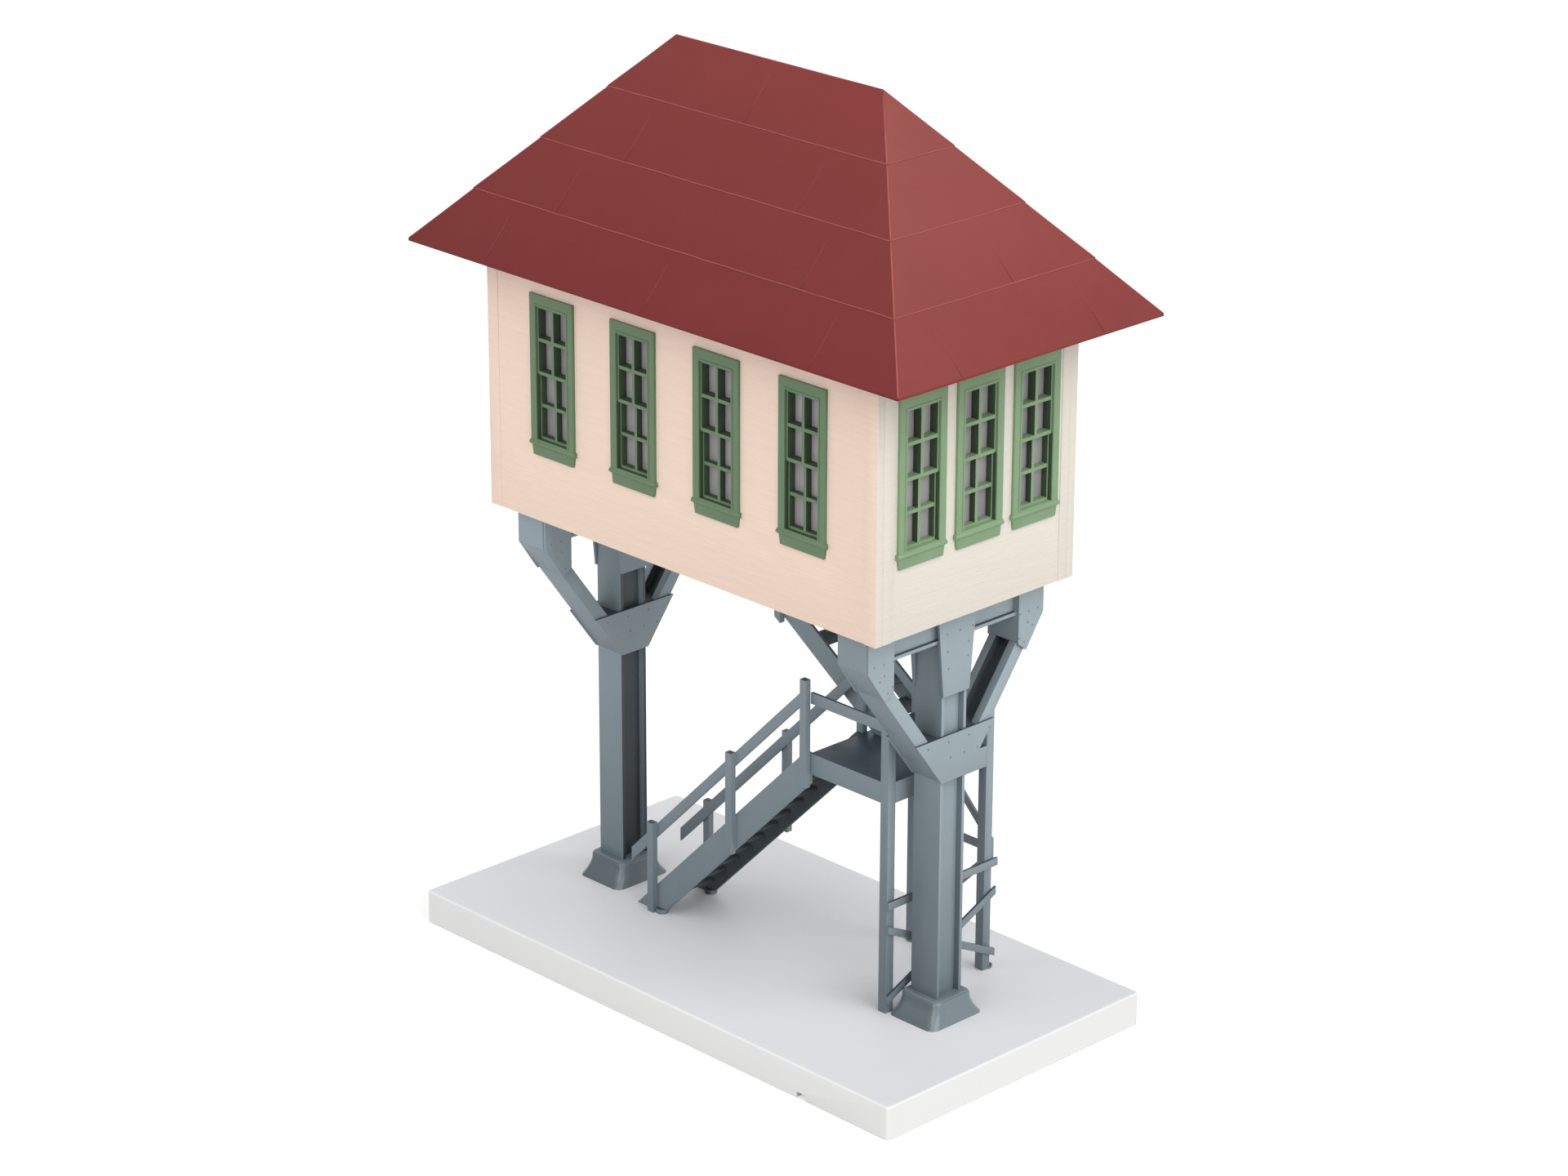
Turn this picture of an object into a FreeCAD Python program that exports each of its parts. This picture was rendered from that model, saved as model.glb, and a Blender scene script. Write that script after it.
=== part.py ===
import FreeCAD, Part
import Sketcher
import math
import os
from types import SimpleNamespace

# Elevated railway signal tower for O-scale (1:48) layouts, all sizes in mm.
# A hip-roofed cabin stands on two Y-bracket columns over a flat base, and a
# two-flight open stair with a landing climbs to its floor.
# Frame: origin at the base's bottom centre, +X along the base, +Z up.
# The long wall with the lower flight in front of it faces -Y.

DIMENSIONS = {
    # base
    "base_long": 240.0, "base_wide": 127.0, "base_tall": 12.5, "base_wall": 3.0, "base_skin": 2.5,
    "base_round": 1.5, "base_edge": 0.8, "cover_thick": 1.6, "cover_gap": 0.2,
    "notch_place": 78.0, "notch_radius": 2.1, "boss_radius": 3.5, "screw_radius": 1.2,
    "screw_head": 2.4, "screw_inset": 9.0, "screw_gap": 0.1, "screw_sink": 0.3,
    "boss_bury": 0.5,
    # columns and their Y brackets
    "column_place": 80.9, "foot_tall": 9.2, "foot_long": 22.3, "foot_wide": 26.3, "foot_rim": 18.5,
    "foot_round": 3.5, "rim_round": 3.0, "rim_edge": 1.6,
    "column_long": 12.6, "column_wide": 12.2, "flange_thick": 1.3,
    "web_recess": 2.5, "plate_thick": 1.0, "plate_lap": 0.45, "hub_low": 104.2, "hub_high": 121.4,
    "hub_sink": 0.9, "arm_end": 43.4, "arm_top": 155.0, "arm_deep": 4.9, "arm_web": 1.3,
    "arm_groove": 6.2, "arm_run": 48.0, "arm_over": 2.0, "splice_low": 136.0, "splice_narrow": 6.45,
    "splice_broad": 9.4, "floor_level": 168.2, "beam_tall": 12.5, "beam_flange": 1.3,
    "beam_broad": 11.6, "beam_web": 8.6,
    # cabin
    "cabin_long": 193.0, "cabin_wide": 96.4, "wall_thick": 3.0, "corner_proud": 0.3,
    "corner_board": 5.5, "floor_thick": 2.5, "wall_top": 264.1,
    "window_low": 198.8, "window_high": 251.4, "window_broad": 20.0, "casing_broad": 22.2,
    "casing_hole": 15.6, "hole_top": 248.6, "casing_thick": 1.2, "casing_head": 252.8,
    "sill_tall": 1.8, "sill_broad": 23.2, "sill_deep": 1.75, "apron_low": 193.3, "apron_broad": 20.8,
    "bead_broad": 0.7, "bead_thick": 0.25, "muntin_broad": 1.3, "light_half": 7.15,
    "light_first": 200.3, "light_pitch": 12.2, "sash_front": -0.5, "sash_back": 0.5,
    "sash_bury": 0.4, "glass_thick": 0.8, "glass_lap": 2.5,
    "bay_pitch": 41.4, "end_pitch": 27.5,
    # roof
    "eave_long": 240.8, "eave_wide": 127.4, "eave_level": 265.1, "ridge_long": 100.0,
    "ridge_level": 340.5, "roof_thick": 2.6, "roof_lap": 0.25, "lip_deep": 2.5, "lip_thick": 2.5,
    "lip_gap": 0.3,
    # lamp
    "socket_radius": 5.0, "socket_tall": 8.0, "socket_flange": 8.0, "socket_plate": 1.6,
    "bulb_radius": 7.0, "bulb_neck": 3.6, "bulb_lift": 1.5,
    # stair and landing
    "stair_near": -13.8, "stair_far": 12.0, "plate_stair": 1.2, "post_long": 3.0, "post_deep": 2.5,
    "stair_top_line": 71.0, "stair_low_line": 57.0, "rail_top_line": 95.3, "rail_deep": 5.3,
    "toe_back": -44.5, "rail_start": -61.6, "tread_thick": 1.1, "tread_rise": 6.75,
    "tread_deep": 8.2, "landing_start": 31.6, "landing_end": 69.8, "landing_near": -13.8,
    "landing_far": 39.3, "landing_level": 100.3, "landing_drop": 8.0, "deck_thick": 1.5,
    "landing_post": 3.7, "post_top": 126.5, "landing_rail_top": 123.3, "landing_rail_low": 119.0,
    "disc_radius": 2.4, "disc_tall": 0.9, "disc_far": 1.85, "disc_near": 1.2,
    "foot_back": 1.2, "stair_newel": -50.5, "newel_top": 48.4, "stair_middle": -9.1, "middle_rise": 1.5,
    "middle_top": 88.9, "head_low": 87.3, "head_top": 128.2,
    "upper_near": 14.5, "upper_far": 36.4, "upper_slope": 0.69, "upper_top_line": 134.6,
    "upper_low_line": 124.3, "upper_rail_line": 161.9, "upper_rail_deep": 4.6,
    "upper_rise": 6.79, "upper_deep": 10.2, "upper_newel": 55.5, "upper_middle": -13.3, "middle_hang": 1.5,
    # braces of the landing
    "brace_thick": 1.0, "brace_broad": 3.0, "tie_level": 55.7, "tie_over": 2.2, "cross_over": 1.6,
    "cross_near_low": 19.4, "cross_far_high": 44.6, "cross_near_high": 46.6, "cross_far_low": 20.2,
    "side_tie_level": 60.5, "knee_broad": 3.9, "knee_top_foot": 62.9, "knee_top": 92.3,
    "knee_top_place": 40.5, "knee_low_head": 59.1, "knee_low": 22.0,
}

doc = FreeCAD.newDocument("signal_tower")
sheet = doc.addObject("Spreadsheet::Sheet", "dims")
for row, (alias, value) in enumerate(DIMENSIONS.items(), start=1):
    sheet.set("A%d" % row, alias)
    sheet.set("B%d" % row, str(value))
    sheet.setAlias("B%d" % row, alias)
doc.recompute()


class Formula:
    """A length: its value in mm, and the sheet formula that gives it."""

    def __init__(self, value, text):
        self.value = value
        self.text = text

    def join(self, other, sign, value):
        return Formula(value, "(%s %s %s)" % (self.text, sign, formula(other).text))

    def __add__(self, other):
        return self.join(other, "+", self.value + formula(other).value)

    def __sub__(self, other):
        return self.join(other, "-", self.value - formula(other).value)

    def __mul__(self, other):
        return self.join(other, "*", self.value * formula(other).value)

    def __truediv__(self, other):
        return self.join(other, "/", self.value / formula(other).value)

    def __radd__(self, other):
        return formula(other) + self

    def __rsub__(self, other):
        return formula(other) - self

    def __rmul__(self, other):
        return formula(other) * self

    def __neg__(self):
        return 0 - self


def formula(length):
    """A plain number as a Formula, and a Formula as it is."""
    if isinstance(length, Formula):
        return length
    return Formula(float(length), "%.9g" % length)


def root(length):
    return Formula(math.sqrt(length.value), "sqrt(%s)" % length.text)


d = SimpleNamespace(**{alias: Formula(value, "dims." + alias) for alias, value in DIMENSIONS.items()})
sub_parts = []


def keep(piece, label):
    """Give a finished sub-part its Label, which names its file."""
    piece.Label = label
    sub_parts.append(piece)
    return piece


def bind(piece, prop, length):
    piece.setExpression(prop, formula(length).text)


def place(piece, x=0, y=0, z=0, turn=0):
    """Set a piece's Placement: a turn about +Z in degrees and a place bound to the sheet."""
    piece.Placement.Rotation = FreeCAD.Rotation(FreeCAD.Vector(0, 0, 1), turn)
    for axis, length in zip("xyz", (x, y, z)):
        bind(piece, "Placement.Base." + axis, length)
    return piece


# ---- Part primitives ---------------------------------------------------------------------

def block(name, x_span, y_span, z_span):
    """A Part::Box between two formulas along each axis."""
    piece = doc.addObject("Part::Box", name)
    for prop, (low, high) in zip(("Length", "Width", "Height"), (x_span, y_span, z_span)):
        bind(piece, prop, formula(high) - low)
    return place(piece, x_span[0], y_span[0], z_span[0])


def drum(name, radius, tall, x, y, z):
    piece = doc.addObject("Part::Cylinder", name)
    bind(piece, "Radius", radius)
    bind(piece, "Height", tall)
    return place(piece, x, y, z)


def frustum(name, low, high, low_half, high_half):
    """A Part::Wedge standing on its Z axis: half sizes (X, Y) at the levels low and high."""
    piece = doc.addObject("Part::Wedge", name)
    spans = {"Xmin": -low_half[0], "Xmax": low_half[0], "Zmin": -low_half[1], "Zmax": low_half[1],
             "X2min": -high_half[0], "X2max": high_half[0],
             "Z2min": -high_half[1], "Z2max": high_half[1], "Ymin": low, "Ymax": high}
    for prop, length in spans.items():
        setattr(piece, prop, formula(length).value)
        bind(piece, prop, length)
    piece.Placement.Rotation = FreeCAD.Rotation(FreeCAD.Vector(1, 0, 0), 90)
    return piece


def fuse(name, *pieces):
    piece = doc.addObject("Part::MultiFuse", name)
    piece.Shapes = list(pieces)
    return piece


def cut(name, base, tool):
    piece = doc.addObject("Part::Cut", name)
    piece.Base = base
    piece.Tool = tool
    return piece


def group(name, *pieces):
    """Several equal solids that are handled as one sub-part."""
    piece = doc.addObject("Part::Compound", name)
    piece.Links = list(pieces)
    return piece


# ---- PartDesign bodies -------------------------------------------------------------------

def new_body(name):
    return doc.addObject("PartDesign::Body", name)


def sketch_on(body, plane, level, outlines):
    """A sketch of closed outlines on a body's origin plane, moved to a level along its normal.

    Every corner is held by two distances from the origin, each bound to the sheet.
    """
    sketch = body.newObject("Sketcher::SketchObject", "Sketch")
    origin_plane = [o for o in body.Origin.OriginFeatures if o.Role == plane + "_Plane"][0]
    sketch.AttachmentSupport = (origin_plane, [""])
    sketch.MapMode = "FlatFace"
    bind(sketch, "AttachmentOffset.Base.z", level)
    for outline in outlines:
        corners = [(formula(u), formula(v)) for u, v in outline]
        points = [FreeCAD.Vector(u.value, v.value, 0) for u, v in corners]
        first = sketch.GeometryCount
        count = len(points)
        for i in range(count):
            sketch.addGeometry(Part.LineSegment(points[i], points[(i + 1) % count]), False)
        for i in range(count):
            sketch.addConstraint(Sketcher.Constraint(
                "Coincident", first + i, 2, first + (i + 1) % count, 1))
        for i, corner in enumerate(corners):
            for kind, length in zip(("DistanceX", "DistanceY"), corner):
                index = sketch.addConstraint(Sketcher.Constraint(
                    kind, -1, 1, first + i, 1, length.value))
                sketch.setExpression("Constraints[%d]" % index, length.text)
    return sketch


def pad(body, plane, outlines, span):
    """Add a prism of the outlines over a span along the plane's normal axis."""
    level = -formula(span[1]) if plane == "XZ" else span[0]
    feature = body.newObject("PartDesign::Pad", "Pad")
    feature.Profile = sketch_on(body, plane, level, outlines)
    bind(feature, "Length", formula(span[1]) - span[0])
    return feature


def pocket(body, plane, outlines, span):
    """Cut a prism of the outlines over a span along the plane's normal axis."""
    level = -formula(span[1]) if plane == "XZ" else span[0]
    feature = body.newObject("PartDesign::Pocket", "Pocket")
    feature.Profile = sketch_on(body, plane, level, outlines)
    feature.Reversed = True
    bind(feature, "Length", formula(span[1]) - span[0])
    return feature


def prism(name, plane, outlines, span):
    body = new_body(name)
    pad(body, plane, outlines, span)
    return body


def oblong(u_low, u_high, v_low, v_high):
    """The four corners of a rectangle."""
    return [(u_low, v_low), (u_high, v_low), (u_high, v_high), (u_low, v_high)]


def centred(half, v_low, v_high):
    return oblong(-half, half, v_low, v_high)


# ---- base --------------------------------------------------------------------------------

def rounded_box(name, x_half, y_half, z_span):
    """The base's outer form: upright corners and top edges rounded."""
    body = new_body(name)
    slab = pad(body, "XY", [oblong(-x_half, x_half, -y_half, y_half)], z_span)
    doc.recompute()
    upright = ["Edge%d" % i for i, edge in enumerate(slab.Shape.Edges, start=1)
               if abs(edge.tangentAt(edge.FirstParameter).z) > 0.9]
    corners = body.newObject("PartDesign::Fillet", "Corners")
    corners.Base = (slab, upright)
    bind(corners, "Radius", d.base_round)
    doc.recompute()
    top = ["Edge%d" % i for i, edge in enumerate(corners.Shape.Edges, start=1)
           if edge.BoundBox.ZMin > d.base_tall.value - 0.01]
    rim = body.newObject("PartDesign::Fillet", "Rim")
    rim.Base = (corners, top)
    bind(rim, "Radius", d.base_edge)
    return body


def screw_places():
    x = d.base_long / 2 - d.screw_inset
    y = d.base_wide / 2 - d.screw_inset
    return [(x, y), (-x, y), (-x, -y), (x, -y)]


def wire_notch(name, y_low, y_high):
    """A round-backed notch in the front's lower edge, for the lamp wires."""
    body = prism(name, "XZ", [centred(d.notch_radius, -1, d.notch_radius)], (y_low, y_high))
    return place(body, d.notch_place)


def make_base():
    outer = rounded_box("BaseForm", d.base_long / 2, d.base_wide / 2, (0, d.base_tall))
    hollow = block("BaseHollow", (-d.base_long / 2 + d.base_wall, d.base_long / 2 - d.base_wall),
                   (-d.base_wide / 2 + d.base_wall, d.base_wide / 2 - d.base_wall),
                   (-1, d.base_tall - d.base_skin))
    notch = wire_notch("BaseNotch", -d.base_wide / 2 - 1, -d.base_wide / 2 + d.base_wall + 1)
    shell = cut("BaseOpen", outer, fuse("BaseCuts", hollow, notch))
    bosses = [drum("Boss", d.boss_radius, d.base_tall - d.base_skin - d.cover_thick + d.boss_bury, x, y,
                   d.cover_thick) for x, y in screw_places()]
    bores = [drum("Bore", d.screw_radius, d.base_tall - d.base_skin - d.cover_thick, x, y,
                  d.cover_thick) for x, y in screw_places()]
    keep(cut("BaseShell", fuse("BaseBossed", shell, *bosses), fuse("BaseBores", *bores)), "base_shell")

    gap = d.base_wall + d.cover_gap
    plate = block("CoverPlate", (-d.base_long / 2 + gap, d.base_long / 2 - gap),
                  (-d.base_wide / 2 + gap, d.base_wide / 2 - gap), (0, d.cover_thick))
    holes = [drum("CoverHole", d.screw_head, d.cover_thick + 2, x, y, -1) for x, y in screw_places()]
    slot = wire_notch("CoverNotch", -d.base_wide / 2, -d.base_wide / 2 + 3 * d.base_wall)
    keep(cut("Cover", plate, fuse("CoverCuts", slot, *holes)), "base_cover")

    screws = []
    for x, y in screw_places():
        head = drum("ScrewHead", d.screw_head - d.screw_gap, d.cover_thick - d.screw_sink, x, y,
                    d.screw_sink)
        shank = drum("ScrewShank", d.screw_radius, d.base_tall - d.base_skin - d.cover_thick - 1, x, y,
                     d.cover_thick)
        screws.append(fuse("Screw", head, shank))
    keep(group("Screws", *screws), "cover_screws")


# ---- columns -----------------------------------------------------------------------------

def rounded_wire(x_half, y_half, radius, level):
    """A closed rectangle with round corners at a level."""
    corners = []
    for x_sign, y_sign, start in ((1, 1, 0), (-1, 1, 90), (-1, -1, 180), (1, -1, 270)):
        centre = FreeCAD.Vector(x_sign * (x_half - radius), y_sign * (y_half - radius), level)
        corners.append(Part.Circle(centre, FreeCAD.Vector(0, 0, 1), radius).toShape(
            math.radians(start), math.radians(start + 90)))
    edges = []
    for i, corner in enumerate(corners):
        following = corners[(i + 1) % 4]
        edges.append(corner)
        edges.append(Part.makeLine(corner.lastVertex(True).Point, following.firstVertex(True).Point))
    return Part.Wire(edges)


def pedestal_shape():
    """A cast foot: its sides flare out to the base in a hollow curve, under a rounded rim."""
    foot_tall, rim_round = d.foot_tall.value, d.rim_round.value
    steps = 6
    rim_part = 0.2
    flare_power = 1.7
    flare_tall = (1 - rim_part) * foot_tall
    sections = []
    for step in range(steps + 1):
        part = step / steps
        spread = (1 - part) ** flare_power
        x_half = (d.foot_rim.value + spread * (d.foot_long.value - d.foot_rim.value)) / 2
        y_half = (d.foot_rim.value + spread * (d.foot_wide.value - d.foot_rim.value)) / 2
        radius = rim_round + spread * (d.foot_round.value - rim_round)
        sections.append(rounded_wire(x_half, y_half, radius, part * flare_tall))
    flare = Part.makeLoft(sections, True, False)
    half = d.foot_rim.value / 2
    rim_face = Part.Face(rounded_wire(half, half, rim_round, flare_tall))
    rim = rim_face.extrude(FreeCAD.Vector(0, 0, foot_tall - flare_tall))
    top_edges = [edge for edge in rim.Edges if edge.BoundBox.ZMin > foot_tall - 0.01]
    return flare.fuse(rim.makeFillet(d.rim_edge.value, top_edges)).removeSplitter()


class Bracket:
    """The Y bracket's outline in the Y-Z plane, for the arm on the +Y side."""
    run = d.arm_end - d.column_wide / 2
    rise = d.arm_top - d.hub_low
    length = root(run * run + rise * rise)
    along = (run / length, rise / length)

    def outer(self, distance, inset=0):
        """A point at a distance up the arm's outer line, and an inset from it."""
        y = d.column_wide / 2 + distance * self.along[0] - inset * self.along[1]
        z = d.hub_low + distance * self.along[1] + inset * self.along[0]
        return y, z

    def at_level(self, level, inset=0):
        """The point of a line parallel to the outer line at a level."""
        distance = (level - d.hub_low - inset * self.along[0]) / self.along[1]
        return self.outer(distance, inset)


bracket = Bracket()


def end_outline(lap):
    """The block at an arm's top: square above, cut along the arm and across it below."""
    inner_y, inner_z = bracket.outer(d.arm_run, d.arm_deep)
    tip = bracket.outer(d.arm_run - lap, -lap)
    return [(inner_y, d.floor_level), (inner_y, inner_z - lap), tip,
            (d.arm_end - lap, d.arm_top - lap), (d.arm_end - lap, d.floor_level)]


def mirrored(outline):
    return [(-u, v) for u, v in outline]


def make_arm(label, turn, x):
    shelf = d.hub_high - d.hub_sink
    body = new_body("Arm")
    outline = [(d.column_wide / 2, d.hub_low), bracket.outer(d.arm_run),
               bracket.outer(d.arm_run, d.arm_deep), bracket.at_level(shelf, d.arm_deep),
               (d.column_wide / 2, shelf)]
    pad(body, "YZ", [outline], (-d.column_long / 2, d.column_long / 2))
    mouth = bracket.at_level(shelf, d.arm_deep)
    groove = [bracket.at_level(shelf, d.arm_web), bracket.outer(d.arm_run, d.arm_web),
              bracket.outer(d.arm_run, d.arm_deep + d.arm_over), (mouth[0] - d.arm_over, shelf)]
    pocket(body, "YZ", [groove], (-d.arm_groove / 2, d.arm_groove / 2))
    keep(place(body, x, turn=turn), label)


def plates(label, outline, x):
    """Two equal plates, one on each side of the bracket along X."""
    inner = d.column_long / 2
    pair = []
    for side in (1, -1):
        span = (inner, inner + d.plate_thick) if side == 1 else (-inner - d.plate_thick, -inner)
        pair.append(place(prism("Plate", "YZ", [outline], span), x))
    keep(group("Plates", *pair), label)


def make_column(side, x):
    pedestal = doc.addObject("Part::Feature", "Pedestal")
    pedestal.Shape = pedestal_shape()
    keep(place(pedestal, x, 0, d.base_tall), "pedestal_" + side)

    half_x = d.column_long / 2
    half_y = d.column_wide / 2
    web_x = half_x - d.web_recess
    web_y = half_y - d.flange_thick
    section = [(-half_x, -half_y), (half_x, -half_y), (half_x, -web_y), (web_x, -web_y),
               (web_x, web_y), (half_x, web_y), (half_x, half_y), (-half_x, half_y),
               (-half_x, web_y), (-web_x, web_y), (-web_x, -web_y), (-half_x, -web_y)]
    beam_low = d.floor_level - d.beam_tall
    column = prism("Column", "XY", [section], (d.base_tall + d.foot_tall, beam_low))
    keep(place(column, x), "column_" + side)

    make_arm("bracket_arm_near_" + side, 180, x)
    make_arm("bracket_arm_far_" + side, 0, x)

    beam = new_body("Crossbeam")
    inner_y = bracket.outer(d.arm_run, d.arm_deep)[0]
    span_y = (-inner_y, inner_y)
    pad(beam, "XZ", [centred(d.beam_web / 2, beam_low, d.floor_level)], span_y)
    pad(beam, "XZ", [centred(d.beam_broad / 2, beam_low, beam_low + d.beam_flange)], span_y)
    pad(beam, "XZ", [centred(d.beam_broad / 2, d.floor_level - d.beam_flange, d.floor_level)], span_y)
    for outline in (centred(d.splice_narrow, beam_low, d.floor_level), end_outline(0),
                    mirrored(end_outline(0))):
        pad(beam, "YZ", [outline], (-half_x, half_x))
    keep(place(beam, x), "crossbeam_" + side)

    plates("gussets_near_" + side, mirrored(end_outline(d.plate_lap)), x)
    plates("gussets_far_" + side, end_outline(d.plate_lap), x)
    foot_y = half_y + d.plate_lap
    head_y = bracket.at_level(d.hub_high, -d.plate_lap)[0]
    plates("gussets_hub_" + side, [(-foot_y, d.hub_low), (foot_y, d.hub_low), (head_y, d.hub_high),
                                   (-head_y, d.hub_high)], x)
    plates("splice_plates_" + side, [(-d.splice_narrow, d.splice_low),
                                     (d.splice_narrow, d.splice_low),
                                     (d.splice_broad, d.floor_level),
                                     (-d.splice_broad, d.floor_level)], x)


# ---- cabin -------------------------------------------------------------------------------

def make_wall(label, long, proud, pitches, turn, reach):
    """A wall facing -Y before its turn: its outer face at y = 0, its thickness behind it."""
    body = new_body("Wall")
    openings = [oblong(c - d.window_broad / 2, c + d.window_broad / 2, d.window_low, d.window_high)
                for c in pitches]
    pad(body, "XZ", [centred(long / 2, d.floor_level, d.wall_top)] + openings, (0, d.wall_thick))
    board = d.corner_board if proud else 0.75 * d.corner_board
    for low, high in ((-long / 2, -long / 2 + board), (long / 2 - board, long / 2)):
        pad(body, "XZ", [oblong(low, high, d.floor_level, d.wall_top)], (-d.corner_proud, 0))
    turned(body, turn, 0, reach)
    keep(body, label)


def turned(body, turn, along, reach):
    """Place a piece made facing -Y: turned about +Z, at a place along the wall and a reach out."""
    x, y = {0: (along, -reach), 90: (reach, along), 180: (-along, reach), 270: (-reach, -along)}[turn]
    return place(body, x, y, turn=turn)


def sash(body, low, high, light_levels, front):
    """A window sash with two rows of lights between its stiles, rails and bars."""
    bar = d.muntin_broad / 2
    lights = []
    for x_low, x_high in ((-d.light_half, -bar), (bar, d.light_half)):
        for z_low, z_high in light_levels:
            lights.append(oblong(x_low, x_high, z_low, z_high))
    pad(body, "XZ", [centred(d.casing_hole / 2 + d.sash_bury, low, high)] + lights, (front, d.wall_thick))


def make_window(label, turn, along, reach):
    """A one-piece window moulding: casing, bead, sill and apron, and two sashes of four lights."""
    body = new_body("Window")
    casing = d.casing_broad / 2
    hole = d.casing_hole / 2
    hole_low = d.window_low + d.muntin_broad / 2
    hole_outline = centred(hole, hole_low, d.hole_top)
    sill_top = d.window_low
    sill_low = sill_top - d.sill_tall
    sill_middle = sill_top - d.sill_tall / 2
    pad(body, "XZ", [centred(d.window_broad / 2, d.window_low, d.window_high), hole_outline],
        (-d.casing_thick / 2, d.wall_thick))
    pad(body, "XZ", [centred(casing, sill_middle, d.casing_head), hole_outline], (-d.casing_thick, 0))

    levels = [d.light_first + row_number * d.light_pitch for row_number in range(4)]
    rows = [(level, level + d.light_pitch - d.muntin_broad) for level in levels]
    meeting = levels[2] - d.muntin_broad
    sash(body, meeting, d.hole_top + d.sash_bury, rows[2:], d.sash_front)
    sash(body, d.window_low + d.sash_bury, meeting + d.muntin_broad / 2, rows[:2], d.sash_back)

    bead = hole + d.bead_broad
    bead_head = d.hole_top + d.bead_broad
    pad(body, "XZ", [[(-bead, hole_low), (-hole, hole_low), (-hole, d.hole_top), (hole, d.hole_top),
                      (hole, hole_low), (bead, hole_low), (bead, bead_head), (-bead, bead_head)]],
        (-d.casing_thick - d.bead_thick, -d.casing_thick / 2))
    round_in = d.sill_tall / 3
    nose = -d.sill_deep
    pad(body, "YZ", [[(0, sill_low), (nose + round_in, sill_low), (nose, sill_low + round_in),
                      (nose, sill_top - round_in), (nose + round_in, sill_top), (0, sill_top)]],
        (-d.sill_broad / 2, d.sill_broad / 2))
    pad(body, "XZ", [[(-casing, sill_middle), (-d.apron_broad / 2, d.apron_low),
                      (d.apron_broad / 2, d.apron_low), (casing, sill_middle)]],
        (-0.75 * d.casing_thick, 0))
    turned(body, turn, along, reach)
    keep(body, label)


def make_glazing(label, long, turn, reach):
    sheet_of_glass = block("Glazing", (-long / 2, long / 2), (d.wall_thick, d.wall_thick + d.glass_thick),
                           (d.window_low - d.glass_lap, d.window_high + d.glass_lap))
    case = group("GlazingCase", sheet_of_glass)
    turned(case, turn, 0, reach)
    keep(case, label)


def make_cabin():
    long_reach = d.cabin_wide / 2 - d.corner_proud
    end_reach = d.cabin_long / 2 - d.corner_proud
    end_long = d.cabin_wide - 2 * (d.corner_proud + d.wall_thick)
    front_bays = [(i - 1.5) * d.bay_pitch for i in range(4)]
    end_bays = [(i - 1) * d.end_pitch for i in range(3)]
    inner_x = end_reach - d.wall_thick
    inner_y = long_reach - d.wall_thick
    keep(block("Floor", (-inner_x, inner_x), (-inner_y, inner_y),
               (d.floor_level, d.floor_level + d.floor_thick)), "cabin_floor")
    sides = {"front": (0, long_reach, front_bays, d.cabin_long, True),
             "right": (90, end_reach, end_bays, end_long, False),
             "back": (180, long_reach, front_bays, d.cabin_long, True),
             "left": (270, end_reach, end_bays, end_long, False)}
    for side, (turn, reach, bays, long, proud) in sides.items():
        make_wall("wall_" + side, long, proud, bays, turn, reach)
        make_glazing("glazing_" + side, (len(bays) - 0.4) * (bays[1] - bays[0]), turn, reach)
        for number, bay in enumerate(bays, start=1):
            make_window("window_%s_%d" % (side, number), turn, bay, reach)


def make_lamp():
    top = d.floor_level + d.floor_thick
    keep(fuse("Socket", drum("SocketFlange", d.socket_flange, d.socket_plate, 0, 0, top),
              drum("SocketCup", d.socket_radius, d.socket_tall, 0, 0, top)), "lamp_socket")
    glass = doc.addObject("Part::Sphere", "BulbGlass")
    bind(glass, "Radius", d.bulb_radius)
    place(glass, 0, 0, top + d.socket_tall + d.bulb_radius + d.bulb_lift)
    neck = drum("BulbNeck", d.bulb_neck, d.bulb_radius, 0, 0, top + d.socket_tall)
    keep(fuse("Bulb", glass, neck), "lamp_bulb")


# ---- roof --------------------------------------------------------------------------------

def hip_half(part, lap=0):
    """Half sizes of the hip roof at a part of its height, 0 at the eaves and 1 at the ridge."""
    x = d.eave_long / 2 + (d.ridge_long / 2 - d.eave_long / 2) * part + lap
    return x, d.eave_wide / 2 * (1 - part) + lap


def make_roof():
    rise = d.ridge_level - d.eave_level
    courses = 4
    solids = [block("EaveEdge", (-d.eave_long / 2, d.eave_long / 2), (-d.eave_wide / 2, d.eave_wide / 2),
                    (d.wall_top, d.eave_level))]
    for course in range(courses):
        low, high = course / courses, (course + 1) / courses
        lap = d.roof_lap if course else 0
        high_half = hip_half(high) if course < courses - 1 else (d.ridge_long / 2, formula(0))
        solids.append(frustum("Course", d.eave_level + rise * low, d.eave_level + rise * high,
                              hip_half(low, lap), high_half))
    inner_x = d.cabin_long / 2 - d.corner_proud - d.wall_thick - d.lip_gap
    inner_y = d.cabin_wide / 2 - d.corner_proud - d.wall_thick - d.lip_gap
    solids.append(block("Lip", (-inner_x, inner_x), (-inner_y, inner_y),
                        (d.wall_top - d.lip_deep, d.wall_top)))

    drop = (d.roof_thick + 0.2) / rise
    hollow = frustum("RoofHollow", d.eave_level + 0.2, d.ridge_level - d.roof_thick,
                     hip_half(drop), (d.ridge_long / 2, formula(0)))
    mouth = block("RoofMouth", (-inner_x + d.lip_thick, inner_x - d.lip_thick),
                  (-inner_y + d.lip_thick, inner_y - d.lip_thick),
                  (d.wall_top - d.lip_deep - 1, d.eave_level + 1))
    keep(cut("Roof", fuse("RoofForm", *solids), fuse("RoofCuts", hollow, mouth)), "roof_shell")


# ---- stairs and landing ------------------------------------------------------------------

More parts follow.
